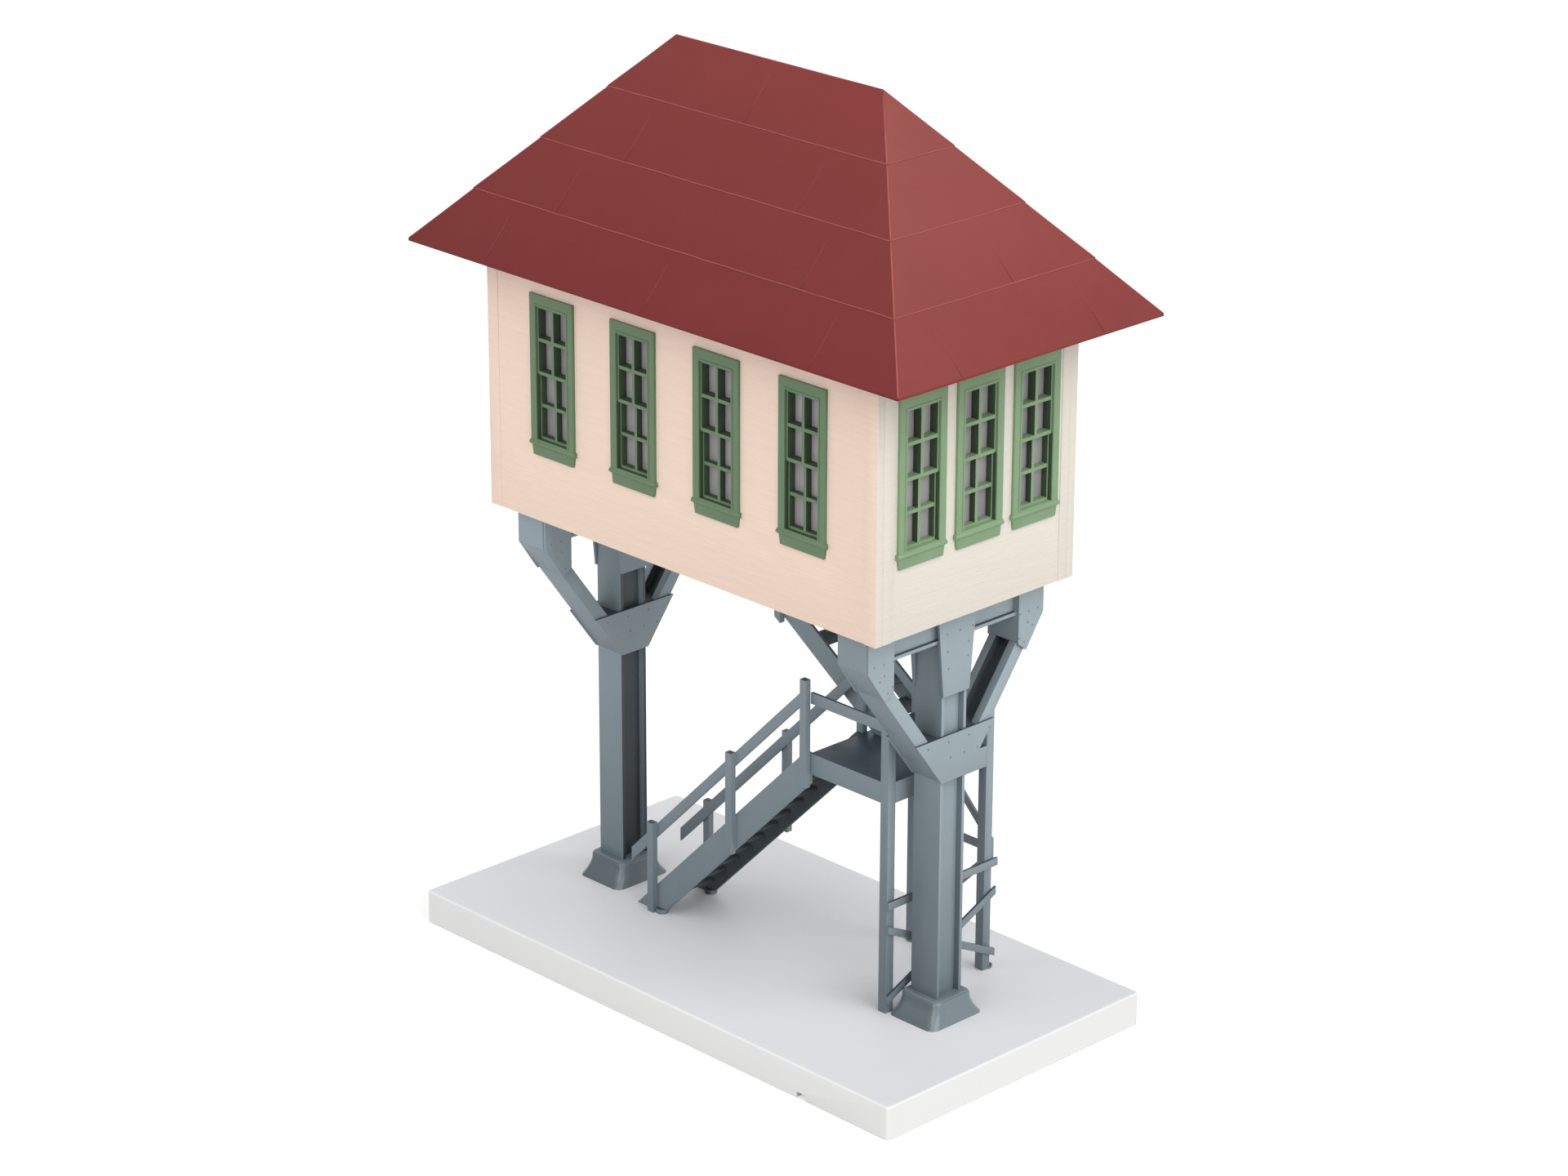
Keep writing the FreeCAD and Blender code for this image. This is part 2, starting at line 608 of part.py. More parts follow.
def stair_side(label, outline, rail, posts, plate_span, post_span, discs=()):
    """A stair side in one moulding: stringer and rail plates, with posts on the outer side."""
    body = new_body("StairSide")
    pad(body, "XZ", [outline], plate_span)
    for post in posts:
        pad(body, "XZ", [post], post_span)
    pad(body, "XZ", [rail], plate_span)
    if not discs:
        keep(body, label)
        return
    feet = [drum("StairFoot", d.disc_radius, 2 * d.disc_tall, x, y, d.base_tall) for x, y in discs]
    keep(fuse("StairSideFooted", body, *feet), label)


def make_lower_flight():
    top, low, rail_top = d.stair_top_line, d.stair_low_line, d.rail_top_line
    end = d.landing_start
    stringer = [(d.base_tall - top, d.base_tall), (d.toe_back, d.base_tall),
                (end, end + low), (end, d.landing_level), (d.landing_level - top, d.landing_level)]
    rail_end = end - d.post_long / 2
    rail = [(d.rail_start, d.rail_start + rail_top - d.rail_deep),
            (rail_end, rail_end + rail_top - d.rail_deep), (rail_end, rail_end + rail_top),
            (d.rail_start, d.rail_start + rail_top)]
    newel, middle = d.stair_newel, d.stair_middle
    posts = [oblong(newel, newel + d.post_long, d.base_tall, d.newel_top),
             oblong(middle, middle + d.post_long, middle + low + d.middle_rise, d.middle_top),
             oblong(end - d.post_long, end, d.head_low, d.head_top)]
    foot_x = d.toe_back - d.foot_back
    near = d.stair_near
    far = d.stair_far
    stair_side("stair_lower_near_side", stringer, rail, posts, (near, near + d.plate_stair),
               (near - d.post_deep, near), [(foot_x, near + d.plate_stair / 2)])
    stair_side("stair_lower_far_side", stringer, rail, posts, (far - d.plate_stair, far),
               (far, far + d.post_deep), [(foot_x, far - d.plate_stair / 2)])
    treads = []
    for step in range(1, 13):
        level = d.base_tall + step * d.tread_rise
        nose = level - top
        treads.append(block("Tread", (nose, nose + d.tread_deep),
                            (near + d.plate_stair, far - d.plate_stair), (level - d.tread_thick, level)))
    keep(group("Treads", *treads), "stair_lower_treads")


def make_upper_flight():
    def on_line(line, x):
        return line - d.upper_slope * x

    def reach(line, level):
        return (line - level) / d.upper_slope

    deck = d.landing_level
    floor = d.floor_level
    stringer = [(reach(d.upper_low_line, deck), deck), (reach(d.upper_top_line, deck), deck),
                (reach(d.upper_top_line, floor), floor), (reach(d.upper_low_line, floor), floor)]
    low_line = d.upper_rail_line - d.upper_rail_deep
    newel = d.upper_newel
    newel_end = newel + d.post_long
    rail = [(newel_end, on_line(low_line, newel_end)), (newel_end, on_line(d.upper_rail_line, newel_end)),
            (reach(d.upper_rail_line, floor), floor), (reach(low_line, floor), floor)]
    post = d.upper_middle
    post_end = post + d.post_long
    hanging = [(post, on_line(d.upper_low_line, post) - d.middle_hang),
               (post_end, on_line(d.upper_low_line, post_end) - d.middle_hang),
               (post_end, floor), (post, floor)]
    newel_foot = oblong(newel, newel_end, deck, d.post_top)
    near, far = d.upper_near, d.upper_far
    for label, plate_span, post_span in (
            ("stair_upper_near_side", (near, near + d.plate_stair), (near - d.post_deep, near)),
            ("stair_upper_far_side", (far - d.plate_stair, far), (far, far + d.post_deep))):
        body = new_body("UpperSide")
        pad(body, "XZ", [stringer], plate_span)
        pad(body, "XZ", [hanging], post_span)
        pad(body, "XZ", [rail], plate_span)
        pad(body, "XZ", [newel_foot], post_span)
        keep(body, label)
    treads = []
    for step in range(1, 10):
        level = deck + step * d.upper_rise
        nose = reach(d.upper_top_line, level)
        treads.append(block("Tread", (nose - d.upper_deep, nose),
                            (near + d.plate_stair, far - d.plate_stair), (level - d.tread_thick, level)))
    keep(group("UpperTreads", *treads), "stair_upper_treads")


def make_landing():
    x_low, x_high = d.landing_start, d.landing_end
    y_low, y_high = d.landing_near, d.landing_far
    post = d.landing_post
    skirt_low = d.landing_level - d.landing_drop
    under_deck = d.landing_level - d.deck_thick
    slab = block("DeckForm", (x_low, x_high), (y_low, y_high), (skirt_low, d.landing_level))
    under = block("DeckUnder", (x_low + d.plate_stair, x_high - d.plate_stair),
                  (y_low + d.plate_stair, y_high - d.plate_stair),
                  (skirt_low - 1, under_deck))
    places = {"near": (x_high - post, y_low, d.post_top, -d.disc_near, d.disc_near),
              "far": (x_high - post, y_high - post, d.post_top, 0, d.disc_far),
              "rear": (x_low + d.plate_stair, y_high - d.plate_stair - post, under_deck, 0, 0)}
    stand_ins = []
    for side, (x, y, top, foot_x, foot_y) in places.items():
        column = block("LandingPost", (x, x + post), (y, y + post), (d.base_tall, top))
        foot = drum("PostFoot", d.disc_radius, d.disc_tall, x + post / 2 + foot_x, y + post / 2 + foot_y,
                    d.base_tall)
        keep(fuse("PostWithFoot", column, foot), "landing_post_" + side)
        if side != "rear":
            stand_ins.append(block("PostSpace", (x, x + post), (y, y + post), (d.base_tall, top)))
    keep(cut("Deck", cut("DeckTray", slab, under), fuse("DeckNotches", *stand_ins)), "landing_deck")

    thick = d.plate_stair
    near_rail = block("NearRail", (x_low, x_high - post), (y_low, y_low + thick),
                      (d.landing_rail_low, d.landing_rail_top))
    end_rail = block("EndRail", (x_high - thick, x_high), (y_low + post, y_high - post),
                     (d.landing_rail_low, d.landing_rail_top))
    keep(group("LandingRails", near_rail, end_rail), "landing_rails")


def bar(u_start, v_start, u_end, v_end, broad):
    """A straight bar's outline: its upper edge runs from start to end, its depth is upright."""
    return [(u_start, v_start - broad), (u_end, v_end - broad), (u_end, v_end), (u_start, v_start)]


def make_braces():
    x = d.landing_end
    near, far = d.landing_near, d.landing_far
    broad = d.brace_broad
    end = new_body("EndBrace")
    x_span = (x, x + d.brace_thick)
    cross_end = far + d.cross_over
    pad(end, "YZ", [bar(near, d.cross_near_low, cross_end, d.cross_far_high, broad)], x_span)
    pad(end, "YZ", [bar(near, d.cross_near_high, cross_end, d.cross_far_low, broad)], x_span)
    tie = prism("EndTie", "YZ", [oblong(near, far + d.tie_over, d.tie_level - broad, d.tie_level)], x_span)
    keep(group("EndBraces", end, tie), "brace_end")
    side = new_body("SideBrace")
    y_span = (far, far + d.brace_thick)
    rear = d.landing_start + d.plate_stair
    pad(side, "XZ", [oblong(rear, x, d.side_tie_level - broad, d.side_tie_level)], y_span)
    pad(side, "XZ", [bar(x, d.knee_top_foot, d.knee_top_place, d.knee_top, d.knee_broad)], y_span)
    pad(side, "XZ", [bar(x, d.knee_low_head, rear, d.knee_low, d.knee_broad)], y_span)
    keep(side, "brace_side")


# ---- build, check, write -----------------------------------------------------------------

make_base()
for column_side, column_x in (("left", -d.column_place), ("right", d.column_place)):
    make_column(column_side, column_x)
make_cabin()
make_lamp()
make_roof()
make_lower_flight()
make_upper_flight()
make_landing()
make_braces()
doc.recompute()

for obj in doc.Objects:
    if "Invalid" in obj.State or "Error" in obj.State:
        raise RuntimeError("%s (%s) failed: %s" % (obj.Name, obj.Label, obj.State))
for piece in sub_parts:
    if piece.Shape.isNull() or not piece.Shape.isValid() or piece.Shape.Volume <= 0:
        raise RuntimeError("%s has no valid shape" % piece.Label)

os.makedirs("parts", exist_ok=True)
for piece in sub_parts:
    piece.Shape.exportStep("parts/%s.step" % piece.Label)
print(len(sub_parts), "sub-parts written")
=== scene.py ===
import math

import bmesh
import bpy
from mathutils import Matrix, Vector, noise
from mathutils.bvhtree import BVHTree


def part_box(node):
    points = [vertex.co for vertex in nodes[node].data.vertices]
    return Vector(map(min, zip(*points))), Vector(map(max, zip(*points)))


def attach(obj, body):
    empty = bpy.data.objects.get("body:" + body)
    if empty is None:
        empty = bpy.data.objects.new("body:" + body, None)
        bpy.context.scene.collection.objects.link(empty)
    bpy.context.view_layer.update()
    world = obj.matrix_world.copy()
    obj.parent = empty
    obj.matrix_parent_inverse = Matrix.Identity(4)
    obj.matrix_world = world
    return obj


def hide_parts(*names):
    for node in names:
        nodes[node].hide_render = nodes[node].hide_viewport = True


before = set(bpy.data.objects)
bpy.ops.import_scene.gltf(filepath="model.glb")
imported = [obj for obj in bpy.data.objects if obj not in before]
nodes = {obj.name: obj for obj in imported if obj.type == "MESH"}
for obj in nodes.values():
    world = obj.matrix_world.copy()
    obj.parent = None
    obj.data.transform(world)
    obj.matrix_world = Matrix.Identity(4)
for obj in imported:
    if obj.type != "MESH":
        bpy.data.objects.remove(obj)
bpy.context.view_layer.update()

# Looks of the elevated signal tower: moulded plastic in five colours, seen in soft studio
# light on a pale floor. Metres, in the frame of the CAD model: +X along the base, +Z up.

MM = 0.001
STEEP = 0.75            # how far a face's normal leans up or down to count as a top or an underside
ENDWARD = 0.72          # and how far along X to count as facing an end
WALLS = (("front", 0, -1), ("back", 0, 1), ("right", 1, 1), ("left", 1, -1))   # its long axis, outward side

scene = bpy.context.scene


def seen_from(azimuth, elevation):
    """The direction from the object to a point at these angles in radians, azimuth from -Y towards +X."""
    return Vector((math.sin(azimuth) * math.cos(elevation), -math.cos(azimuth) * math.cos(elevation),
                   math.sin(elevation)))


# ---- camera, floor and light ---------------------------------------------------------------

SUN_DISTANCE = 3.0
SKY_LIGHT, SKY_SEEN = 0.60, 1.0         # the world's strength as light, and as the camera sees it
FLOOR_RADIUS, FLOOR_DROP = 14.0, 0.0002
FLOOR_TONE, FLOOR_GLOW = 0.62, 0.50     # the floor's albedo, and the glow that only the camera sees


def camera_only(tree, low, high, target):
    """Sets a socket to `high` for camera rays and to `low` for light."""
    seen = tree.nodes.new("ShaderNodeLightPath")
    level = tree.nodes.new("ShaderNodeMapRange")
    level.inputs["To Min"].default_value = low
    level.inputs["To Max"].default_value = high
    tree.links.new(seen.outputs["Is Camera Ray"], level.inputs["Value"])
    tree.links.new(level.outputs["Result"], target)


def make_camera():
    place = (1.08655, -1.06058, 0.74198)
    azimuth, elevation, roll = math.radians(45.586), math.radians(21.311), 0.00384
    data = bpy.data.cameras.new("camera")
    data.sensor_width = 36.0
    data.lens = 106.215
    data.clip_start, data.clip_end = 0.05, 60.0
    camera = bpy.data.objects.new("camera", data)
    scene.collection.objects.link(camera)
    back = seen_from(azimuth, elevation)
    right = Vector((0, 0, 1)).cross(back).normalized()
    up = back.cross(right)
    turn = Matrix.Rotation(roll, 3, back)
    right, up = turn @ right, turn @ up
    camera.matrix_world = Matrix.Translation(place) @ Matrix(
        (right, up, back)).transposed().to_4x4()
    scene.camera = camera


def make_sun(name, azimuth, elevation, spread, strength, colour):
    """A wide sun from azimuth and elevation in degrees, `spread` degrees across."""
    data = bpy.data.lights.new(name, "SUN")
    data.angle = math.radians(spread)
    data.energy = strength
    data.color = colour
    sun = bpy.data.objects.new(name, data)
    scene.collection.objects.link(sun)
    back = seen_from(math.radians(azimuth), math.radians(elevation))
    sun.rotation_mode = "QUATERNION"
    sun.rotation_quaternion = back.to_track_quat("Z", "Y")
    sun.location = back * SUN_DISTANCE


def make_studio():
    world = bpy.data.worlds.new("studio")
    world.use_nodes = True
    tree = world.node_tree
    sky = tree.nodes["Background"]
    sky.inputs["Color"].default_value = (1.0, 1.0, 1.0, 1.0)
    camera_only(tree, SKY_LIGHT, SKY_SEEN, sky.inputs["Strength"])
    scene.world = world
    make_sun("key", 94, 38, 60, 1.83, (1.0, 0.995, 0.985))
    make_sun("fill", -4, 22, 70, 1.12, (1.0, 0.99, 0.98))
    scene.view_settings.view_transform = "Standard"

    mesh = bpy.data.meshes.new("studio_floor")
    bm = bmesh.new()
    bmesh.ops.create_circle(bm, cap_ends=True, radius=FLOOR_RADIUS, segments=96,
                            matrix=Matrix.Translation((0, 0, -FLOOR_DROP)))
    bm.to_mesh(mesh)
    bm.free()
    floor = bpy.data.objects.new("studio_floor", mesh)
    scene.collection.objects.link(floor)
    mesh.materials.append(floor_finish())


# ---- materials -----------------------------------------------------------------------------

def add_noise(tree, size, detail=2.0, stretch=(1, 1, 1), rough=0.5):
    """Noise whose features are about `size` mm, longer by `stretch` along each axis."""
    where = tree.nodes.new("ShaderNodeTexCoord")
    mapping = tree.nodes.new("ShaderNodeMapping")
    mapping.inputs["Scale"].default_value = [1 / s for s in stretch]
    cloud = tree.nodes.new("ShaderNodeTexNoise")
    cloud.inputs["Scale"].default_value = 1 / (size * MM)
    cloud.inputs["Detail"].default_value = detail
    cloud.inputs["Roughness"].default_value = rough
    tree.links.new(where.outputs["Object"], mapping.inputs["Vector"])
    tree.links.new(mapping.outputs["Vector"], cloud.inputs["Vector"])
    return cloud.outputs["Fac"]


def add_ramp(tree, value, stops):
    ramp = tree.nodes.new("ShaderNodeValToRGB")
    elements = ramp.color_ramp.elements
    while len(elements) < len(stops):
        elements.new(0.5)
    for element, (place, colour) in zip(elements, stops):
        element.position = place
        element.color = (*colour, 1.0)
    tree.links.new(value, ramp.inputs["Fac"])
    return ramp.outputs["Color"]


def add_range(tree, value, low, high):
    span = tree.nodes.new("ShaderNodeMapRange")
    span.inputs["From Min"].default_value = 0.3
    span.inputs["From Max"].default_value = 0.7
    span.inputs["To Min"].default_value = low
    span.inputs["To Max"].default_value = high
    tree.links.new(value, span.inputs["Value"])
    return span.outputs["Result"]


def add_bump(tree, height, depth, below=None):
    """Relief `depth` mm deep, over the relief `below` if there is one."""
    bump = tree.nodes.new("ShaderNodeBump")
    bump.inputs["Strength"].default_value = 1.0
    bump.inputs["Distance"].default_value = depth * MM
    tree.links.new(height, bump.inputs["Height"])
    if below is not None:
        tree.links.new(below, bump.inputs["Normal"])
    return bump.outputs["Normal"]


def tinted(colour, factor):
    return tuple(min(1.0, c * factor) for c in colour)


def plastic(name, colour, rough, mottle, patch, skin=0.004, specular=0.5, stretch=(1, 1, 1), layers=()):
    """Moulded plastic: a faint mottle in patches of `patch` mm, uneven sheen and a fine moulded skin."""
    material = bpy.data.materials.new(name)
    material.use_nodes = True
    tree = material.node_tree
    shader = tree.nodes["Principled BSDF"]
    shader.inputs["Specular IOR Level"].default_value = specular
    broad = add_noise(tree, patch, 4.0, stretch, 0.6)
    tone = add_ramp(tree, broad, [(0.25, tinted(colour, 1 - mottle)), (0.5, colour),
                                  (0.78, tinted(colour, 1 + mottle))])
    tree.links.new(tone, shader.inputs["Base Color"])
    sheen = add_noise(tree, patch * 0.35, 3.0)
    tree.links.new(add_range(tree, sheen, rough - 0.05, rough + 0.05), shader.inputs["Roughness"])
    normal = add_bump(tree, add_noise(tree, 0.45, 3.0, rough=0.7), skin)
    normal = add_bump(tree, add_noise(tree, 7.0, 1.0), skin * 4, normal)
    for size, stretch, depth in layers:
        normal = add_bump(tree, add_noise(tree, size, 4.0, stretch, 0.65), depth, normal)
    tree.links.new(normal, shader.inputs["Normal"])
    return material


def floor_finish():
    """A pale backdrop sheet, lit up to the camera and dimmer in what it gives back to the object."""
    material = bpy.data.materials.new("studio_floor")
    material.use_nodes = True
    tree = material.node_tree
    shader = tree.nodes["Principled BSDF"]
    shader.inputs["Base Color"].default_value = (FLOOR_TONE, FLOOR_TONE, FLOOR_TONE, 1.0)
    shader.inputs["Roughness"].default_value = 0.9
    shader.inputs["Specular IOR Level"].default_value = 0.1
    shader.inputs["Emission Color"].default_value = (1.0, 1.0, 1.0, 1.0)
    camera_only(tree, 0.0, FLOOR_GLOW, shader.inputs["Emission Strength"])
    return material


# Painted light: the steelwork's long sides and ends take shaded and lit copies of one steel-grey plastic, the
# ends' copy lighter where the key light falls.
STEEL_LONG = plastic("steelwork_long_shaded", (0.200, 0.248, 0.276), 0.44, 0.06, 26, 0.004)
STEEL_END = plastic("steelwork_end_lit", (0.298, 0.362, 0.398), 0.44, 0.06, 26, 0.004)
# Painted shade on the steelwork's upward faces, darkened for the cabin's shadow over them.
STEEL_TOP_SHADE = plastic("steelwork_top_painted_shade", (0.048, 0.074, 0.098), 0.36, 0.08, 26, 0.004)
# Painted shade for the steelwork's undersides, the grooves of the bracket arms, the treads, the flank under
# the lower flight and the pedestals' undersides.
STEEL_SHADE = plastic("steelwork_painted_shade", (0.052, 0.068, 0.080), 0.50, 0.08, 20, 0.004)
# Pedestals: shaded and lit copies of one plastic for the long sides and for the ends and tops, painted light,
# and a painted highlight on the rounded corners.
FOOT_LONG = plastic("pedestal_long_shaded", (0.087, 0.112, 0.126), 0.24, 0.05, 26, 0.003)
FOOT_CORNER_HIGHLIGHT = plastic("pedestal_corner_highlight", (0.172, 0.212, 0.236), 0.20, 0.05, 26, 0.003)
FOOT_END = plastic("pedestal_end_lit", (0.158, 0.197, 0.218), 0.24, 0.05, 26, 0.003)
# Painted shade on the sides that the two columns turn to each other.
STEEL_INNER_SHADE = plastic("steelwork_inner_painted_shade", (0.150, 0.184, 0.205), 0.46, 0.06, 26, 0.004)
ROOF = plastic("roof_moulding", (0.180, 0.0195, 0.0180), 0.52, 0.05, 34, 0.003, 0.30)
# Lighter than the roof: a painted highlight along the seams.
ROOF_SEAM_HIGHLIGHT = plastic("roof_seam_highlight", (0.275, 0.062, 0.059), 0.45, 0.16, 5, 0.002, 0.30)
# Lighter than the roof: a painted highlight along the course lips and the hips, where they catch the light.
ROOF_HIGHLIGHT = plastic("roof_painted_highlight", (0.37, 0.098, 0.092), 0.45, 0.16, 5, 0.002, 0.30)
GRAIN = ((0.50, (18, 18, 1), 0.11), (1.6, (9, 9, 1), 0.14))
# Painted light: the long walls' warm tone and the end walls' paler cream are one plastic under different
# light, given as two copies.
WALL_LONG = plastic("wall_board_long", (0.90, 0.705, 0.585), 0.55, 0.036, 0.8, 0.003,
                    stretch=(22, 22, 1), layers=GRAIN)
WALL_END = plastic("wall_board_end", (0.757, 0.715, 0.628), 0.55, 0.024, 0.8, 0.003,
                   stretch=(22, 22, 1), layers=GRAIN)
# Paler than the wall: a painted highlight along the raised beads.
WALL_BEAD = plastic("wall_bead_painted_highlight", (0.97, 0.90, 0.79), 0.5, 0.03, 6, 0.003)
# Painted light: shaded and lit copies of one green plastic, for the long walls and for the end walls.
WINDOW_LONG = plastic("window_moulding_long_shaded", (0.133, 0.220, 0.120), 0.40, 0.07, 14, 0.003)
WINDOW_END = plastic("window_moulding_end_lit", (0.222, 0.350, 0.192), 0.40, 0.07, 14, 0.003)
# Painted shade on the sides of the lights and of the casings' holes, and on the strips beside the lower
# sashes.
WINDOW_SHADE = plastic("window_moulding_painted_shade", (0.050, 0.085, 0.043), 0.60, 0.07, 14, 0.003)
# Painted light and shade: copies of one white plastic, each toned to the light on its facing.
BASE_LONG = plastic("base_long", (0.785, 0.785, 0.785), 0.50, 0.012, 60, 0.003)
BASE_END = plastic("base_end", (0.770, 0.770, 0.770), 0.50, 0.012, 60, 0.003)
BASE_TOP = plastic("base_top", (0.755, 0.768, 0.796), 0.50, 0.012, 60, 0.003)
SCREW = plastic("screw_zinc", (0.52, 0.53, 0.55), 0.30, 0.08, 1.2, 0.003)
SOCKET = plastic("socket_moulding", (0.045, 0.045, 0.047), 0.40, 0.10, 5, 0.003)


def metal(material):
    material.node_tree.nodes["Principled BSDF"].inputs["Metallic"].default_value = 1.0


def multiply_tone(tree, shader, share=None, gain=None, gain_socket=None):
    """Multiplies the base colour by a gain, fully or by the share that a socket gives."""
    tone = shader.inputs["Base Color"].links[0].from_socket
    mix = tree.nodes.new("ShaderNodeMix")
    mix.data_type = "RGBA"
    mix.blend_type = "MULTIPLY"
    mix.clamp_result = False
    if share is None:
        mix.inputs[0].default_value = 1.0
    else:
        tree.links.new(share, mix.inputs[0])
    tree.links.new(tone, mix.inputs[6])
    if gain_socket is None:
        mix.inputs[7].default_value = (*gain, 1.0)
    else:
        tree.links.new(gain_socket, mix.inputs[7])
    tree.links.new(mix.outputs[2], shader.inputs["Base Color"])


def lift_ends(material, gain):
    """Multiplies the colour by `gain` on the slopes that face an end, to follow the photo's tones: painted
    light on the end slopes.
    """
    tree = material.node_tree
    where = tree.nodes.new("ShaderNodeNewGeometry")
    parts = tree.nodes.new("ShaderNodeSeparateXYZ")
    size = tree.nodes.new("ShaderNodeMath")
    size.operation = "ABSOLUTE"
    part = tree.nodes.new("ShaderNodeMapRange")
    part.inputs["From Min"].default_value = 0.3
    part.inputs["From Max"].default_value = 0.6
    tree.links.new(where.outputs["True Normal"], parts.inputs["Vector"])
    tree.links.new(parts.outputs["X"], size.inputs[0])
    tree.links.new(size.outputs[0], part.inputs["Value"])
    multiply_tone(tree, tree.nodes["Principled BSDF"], share=part.outputs["Result"], gain=gain)


def fade(material, axis, low, high, stops):
    """Multiplies the colour along an axis. A stop is a share of the way from low to high (mm), and a gain."""
    tree = material.node_tree
    where = tree.nodes.new("ShaderNodeTexCoord")
    parts = tree.nodes.new("ShaderNodeSeparateXYZ")
    part = tree.nodes.new("ShaderNodeMapRange")
    part.inputs["From Min"].default_value = low * MM
    part.inputs["From Max"].default_value = high * MM
    gain = add_ramp(tree, part.outputs["Result"], stops)
    tree.links.new(where.outputs["Object"], parts.inputs["Vector"])
    tree.links.new(parts.outputs[axis], part.inputs["Value"])
    multiply_tone(tree, tree.nodes["Principled BSDF"], gain_socket=gain)


# The photo's tones fade with height and along the length more than a soft light gives alone, so the gains
# below paint that light and shade into the colours.
metal(SCREW)
# Painted light on the roof: the end slopes lighter, and the slopes lighter towards the ridge.
lift_ends(ROOF, (1.28, 1.95, 1.85))
fade(ROOF, "Z", 265, 335, [(0.0, (0.94, 0.84, 0.86)), (1.0, (1.17, 1.55, 1.50))])
# Painted shade and light: the steelwork darker towards the foot, and lighter towards -X than towards +X.
fade(STEEL_LONG, "Z", 15, 165, [(0.0, (0.52, 0.53, 0.54)), (1.0, (1.18, 1.18, 1.18))])
fade(STEEL_LONG, "X", -85, 85, [(0.0, (1.26, 1.27, 1.29)), (1.0, (0.97, 0.98, 0.99))])
# Painted shade: the end-facing steelwork darker towards the foot.
fade(STEEL_END, "Z", 15, 165, [(0.0, (0.50, 0.51, 0.52)), (0.43, (0.93, 0.93, 0.93)),
                               (1.0, (1.10, 1.10, 1.10))])
# Painted shade: the columns' facing sides darken strongly towards the foot.
fade(STEEL_INNER_SHADE, "Z", 15, 165, [(0.0, (0.14, 0.15, 0.16)), (0.6, (0.50, 0.50, 0.50)),
                                 (1.0, (1.0, 1.0, 1.0))])
# Painted light: the base's top lighter towards -X and darker towards +X.
fade(BASE_TOP, "X", -115, 115, [(0.0, (1.10, 1.10, 1.10)), (0.6, (1.03, 1.03, 1.03)),
                                (1.0, (0.93, 0.93, 0.93))])


def make_glazing_finish():
    """Frosted clear sheet, greyed by the dark cabin behind it."""
    material = bpy.data.materials.new("glazing_frosted")
    material.use_nodes = True
    tree = material.node_tree
    shader = tree.nodes["Principled BSDF"]
    shader.inputs["Specular IOR Level"].default_value = 0.5
    tone = add_ramp(tree, add_noise(tree, 9.0, 2.0, (1, 1, 2.5)),
                    [(0.28, (0.34, 0.315, 0.335)), (0.72, (0.44, 0.41, 0.435))])
    tree.links.new(tone, shader.inputs["Base Color"])
    tree.links.new(add_range(tree, add_noise(tree, 3.0, 3.0), 0.32, 0.42), shader.inputs["Roughness"])
    tree.links.new(add_bump(tree, add_noise(tree, 0.3, 2.0), 0.003), shader.inputs["Normal"])
    return material


def make_bulb_finish():
    material = bpy.data.materials.new("bulb_glass")
    material.use_nodes = True
    tree = material.node_tree
    shader = tree.nodes["Principled BSDF"]
    shader.inputs["Transmission Weight"].default_value = 0.85
    shader.inputs["IOR"].default_value = 1.45
    tone = add_ramp(tree, add_noise(tree, 4.0, 2.0), [(0.3, (0.93, 0.91, 0.86)), (0.7, (0.98, 0.97, 0.94))])
    tree.links.new(tone, shader.inputs["Base Color"])
    tree.links.new(add_range(tree, add_noise(tree, 2.0, 2.0), 0.04, 0.12), shader.inputs["Roughness"])
    return material


GLAZING = make_glazing_finish()
BULB = make_bulb_finish()


# ---- pieces --------------------------------------------------------------------------------

BEVEL_ANGLE, SMOOTH_ANGLE = 28, 27       # in degrees
BEVEL_ROOM = 2.5         # an edge shorter than this many bevel widths stays sharp
SPUR_HEIGHT, SPUR_REACH = 0.75, 4        # in bevel widths
BEVEL_TRIES = 4
WELD, FLAT_ANGLE = 0.002 * MM, 0.4       # vertices merged, and faces joined, in a moulding's mesh


def rounded(source, width, steps):
    """A copy of a bmesh with its sharp edges rounded, `width` in metres.

    An edge is left sharp where its rounding would stand out of the surface as a spur,
    which happens where a corner has no room for it.
    """
    surface = BVHTree.FromBMesh(source)
    sharp = math.radians(BEVEL_ANGLE)
    crowded = set()
    for attempt in range(BEVEL_TRIES):
        bm = source.copy()
        bm.verts.ensure_lookup_table()
        edges = [e for e in bm.edges if len(e.link_faces) == 2 and e.calc_face_angle() > sharp
                 and not (e.verts[0].index in crowded and e.verts[1].index in crowded)
                 and e.calc_length() > BEVEL_ROOM * width]
        bmesh.ops.bevel(bm, geom=edges, offset=width, offset_type="OFFSET", segments=steps,
                        profile=0.5, affect="EDGES", clamp_overlap=False)
        spurs = [v.co.copy() for v in bm.verts if surface.find_nearest(v.co)[3] > SPUR_HEIGHT * width]
        if not spurs:
            return bm
        for vert in source.verts:
            if any((vert.co - spur).length < SPUR_REACH * width for spur in spurs):
                crowded.add(vert.index)
        if attempt < BEVEL_TRIES - 1:
            bm.free()
    return bm


